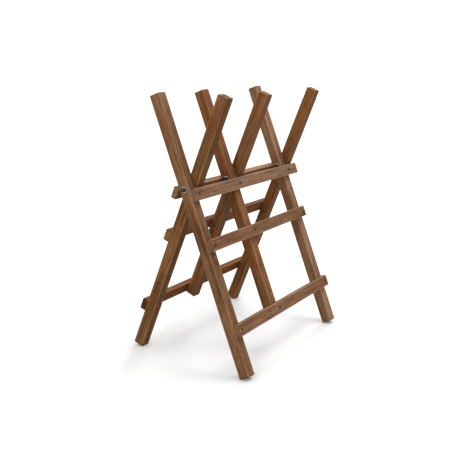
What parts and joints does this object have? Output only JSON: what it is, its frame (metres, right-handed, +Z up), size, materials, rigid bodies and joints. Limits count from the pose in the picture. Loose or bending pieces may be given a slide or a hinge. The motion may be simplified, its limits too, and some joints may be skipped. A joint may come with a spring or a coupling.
{
  "type": "folding sawhorse",
  "caption": "Folding timber sawhorse for cutting logs: crossed frames of square legs and flat rails turn on pivot bolts, opening into a V-shaped cradle or closing flat.",
  "frame": {"origin": "on the floor, under the middle of the open horse's whole box", "axes": "+Z up, +X along the rails from the nut side to the bolt-head side, +Y from the front frame's feet to the rear frame's feet"},
  "size_m": [0.8354, 0.591, 1.0616],
  "materials": {
    "leg_timber": "planed softwood with a brown preservative stain, satin",
    "rail_timber": "planed softwood with a brown preservative stain, satin",
    "screw_steel": "dark coated steel",
    "bolt_zinc": "darkened zinc plate, still shiny"
  },
  "bodies": {
    "front_frame": {"front_leg_near": "leg_timber", "front_leg_middle": "leg_timber", "front_leg_far": "leg_timber", "front_top_rail": "rail_timber", "front_middle_rail": "rail_timber", "front_bottom_rail": "rail_timber", "front_top_rail_screws": "screw_steel", "front_middle_rail_screws": "screw_steel", "front_bottom_rail_screws": "screw_steel"},
    "rear_frame": {"rear_leg_near": "leg_timber", "rear_leg_middle": "leg_timber", "rear_leg_far": "leg_timber", "rear_top_rail": "rail_timber", "rear_middle_rail": "rail_timber", "rear_bottom_rail": "rail_timber", "rear_top_rail_screws": "screw_steel", "rear_middle_rail_screws": "screw_steel", "rear_bottom_rail_screws": "screw_steel", "pivot_bolt_near": "bolt_zinc", "pivot_nut_near": "bolt_zinc", "nut_washer_near": "bolt_zinc", "pivot_bolt_middle": "bolt_zinc", "pivot_nut_middle": "bolt_zinc", "nut_washer_middle": "bolt_zinc", "pivot_bolt_far": "bolt_zinc", "pivot_nut_far": "bolt_zinc", "nut_washer_far": "bolt_zinc"}
  },
  "joints": [
    {"name": "fold", "type": "hinge", "parent": "front_frame", "child": "rear_frame", "pos_m": [0, 0, 0.7019], "axis": [-1, 0, 0], "range_deg": [0, 43]}
  ]
}
